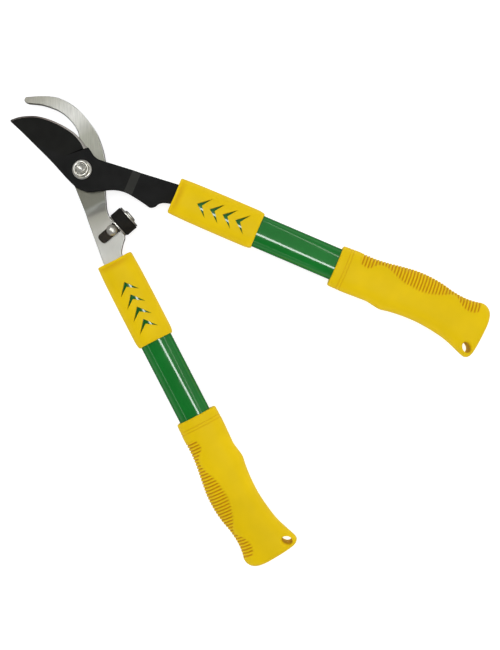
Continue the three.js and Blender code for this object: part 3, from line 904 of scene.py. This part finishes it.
refined("cutting_blade", "coated_blade", "blade_arm", "black_coating", BLACK, 0.22, [
    (EDGE_STEEL, 0.5, 0.75),
    # painted shade on the step walls
    (STEP_SHADE_BLACK, 0.75, 0.9),
    # painted sheen on the bend
    (BEND_SHEEN_BLACK, 0.93, 0.98),
    (GROUND_BLACK, 0.99, 0.9985),
])
refined("hook_blade", "steel_hook", "hook_arm", "bare_steel", STEEL, 0.5, (), (HIGHLIGHT_EDGE_STEEL, INWARDS))
refined("bumper_bracket", "bumper_strip", "hook_arm", "blackened_steel", BLACKENED, 0.2)
refined("bumper_base_washer", "bumper_base_plate", "hook_arm", "zinc_plate", ZINC, 0.15)
refined("pivot_washer", "flat_washer", "hook_arm", "zinc_plate", ZINC, 0.15)
make_nut()
make_bolt()
make_bumper()
make_bracket_rivet()
for side_name in SIDES:
    make_tube(side_name)
    make_sleeve(side_name)
    make_grip(side_name)
    for end in ("front", "back"):
        own_material(frame["nodes"][f"{side_name}_tang_insert_{end}"], NYLON)
    for number in (1, 2):
        own_material(frame["nodes"][f"{side_name}_tang_pin_{number}"], ZINC)


# ---- Floor, light and camera ----

CAMERA_HEIGHT = 0.6475  # in metres, above the plane in the middle of both handles
CAMERA_X = 0.0006
CAMERA_Y = -0.2101
UP_IN_PICTURE = Vector((0.732, 0.681, 0)).normalized()
RIGHT_IN_PICTURE = UP_IN_PICTURE.cross(Vector((0, 0, 1)))


def make_camera():
    """A camera that looks straight down."""
    data = bpy.data.cameras.new("camera")
    data.lens = 38.77
    data.sensor_width = 36
    data.clip_start = 0.01
    data.clip_end = 10
    camera = bpy.data.objects.new("camera", data)
    bpy.context.scene.collection.objects.link(camera)
    bpy.context.scene.camera = camera
    camera.location = (CAMERA_X, CAMERA_Y, MID * MM + CAMERA_HEIGHT)
    axes = Matrix([RIGHT_IN_PICTURE, UP_IN_PICTURE, (0, 0, 1)])
    camera.rotation_euler = axes.transposed().to_euler()


make_camera()

# The floor's sizes are in metres.
FLOOR_RADIUS = 2.6
WALL_CURVE = 0.7
WALL_HEIGHT = 2.0
FLOOR_SIDES = 64


def white_floor():
    """A pale surface with a glow of its own, so that shadows on it stay faint."""
    material, _, _, shader = new_material("white_floor")
    shader.inputs["Base Color"].default_value = (0.45, 0.45, 0.45, 1)
    shader.inputs["Roughness"].default_value = 0.9
    shader.inputs["Specular IOR Level"].default_value = 0.1
    shader.inputs["Emission Color"].default_value = (1, 1, 1, 1)
    shader.inputs["Emission Strength"].default_value = 0.76
    return material


def make_floor():
    """A round floor that sweeps up into a wall far from the object."""
    profile = [(0.001, 0), (FLOOR_RADIUS, 0)]
    for i in range(1, 9):
        angle = math.pi / 2 * i / 8
        profile.append((FLOOR_RADIUS + WALL_CURVE * math.sin(angle), WALL_CURVE * (1 - math.cos(angle))))
    profile.append((FLOOR_RADIUS + WALL_CURVE, WALL_HEIGHT))
    angle = 2 * math.pi * np.arange(FLOOR_SIDES) / FLOOR_SIDES
    rings = []
    for radius, height in profile:
        x, y = radius * np.cos(angle), radius * np.sin(angle)
        rings.append(np.stack([x, y, np.full(FLOOR_SIDES, height)], axis=-1))
    vertices, faces = skin(rings, True, False)
    mesh = bpy.data.meshes.new("floor")
    mesh.from_pydata([tuple(v) for v in vertices], [], faces)
    mesh.shade_smooth()
    floor = bpy.data.objects.new("floor", mesh)
    bpy.context.scene.collection.objects.link(floor)
    floor.location.z = cad_low.z - 0.0002
    floor.visible_glossy = False
    floor.data.materials.append(white_floor())


make_floor()


def studio_world():
    """Grey walls round the horizon under a dark ceiling."""
    world = bpy.data.worlds.new("studio")
    bpy.context.scene.world = world
    world.use_nodes = True
    nodes, links = world.node_tree.nodes, world.node_tree.links
    where = nodes.new("ShaderNodeTexCoord")
    parts = nodes.new("ShaderNodeSeparateXYZ")
    links.new(where.outputs["Generated"], parts.inputs["Vector"])
    levels = [(0.0, 0.1), (0.03, 0.4), (0.3, 0.4), (0.55, 0.2), (0.8, 0.07)]
    shade = ramp(nodes, links, parts.outputs["Z"], [(height, (level,) * 3) for height, level in levels])
    links.new(shade, nodes["Background"].inputs["Color"])
    nodes["Background"].inputs["Strength"].default_value = 1.0


studio_world()
bpy.context.scene.view_settings.view_transform = "Standard"

LAMP_HEIGHT = 1.0
FILL_HEIGHT = 1.2


def lamp(name, x, y, direction, length, width, radiance, color=(1, 1, 1)):
    """A lamp that faces straight down, with its long side along direction. Lengths are in metres."""
    data = bpy.data.lights.new(name, "AREA")
    data.shape = "RECTANGLE"
    data.size = length
    data.size_y = width
    data.energy = radiance * length * width * math.pi
    data.color = color
    made = bpy.data.objects.new(name, data)
    bpy.context.scene.collection.objects.link(made)
    made.location = (x, y, LAMP_HEIGHT)
    made.rotation_euler = (0, 0, math.atan2(direction[1], direction[0]))
    return made


lamp("main_strip", 0.007, 0.1, (0, 1), 1.5, 0.09, 9.0, (0.97, 1.0, 1.0))
lamp("side_strip", 0.69, -0.10, (0.8, 0.6), 1.5, 0.03, 3.5, (1.0, 0.97, 0.92))
lamp("soft_panel", 0.55, -0.1, (0, 1), 2.0, 0.9, 0.2)
lamp("far_strip", -0.8, 0.0, (0, 1), 1.2, 0.05, 2.0)
fill = lamp("fill", 0.25, -0.4, (0, 1), 1.4, 1.4, 0.82)
fill.location.z = FILL_HEIGHT
fill.visible_glossy = False
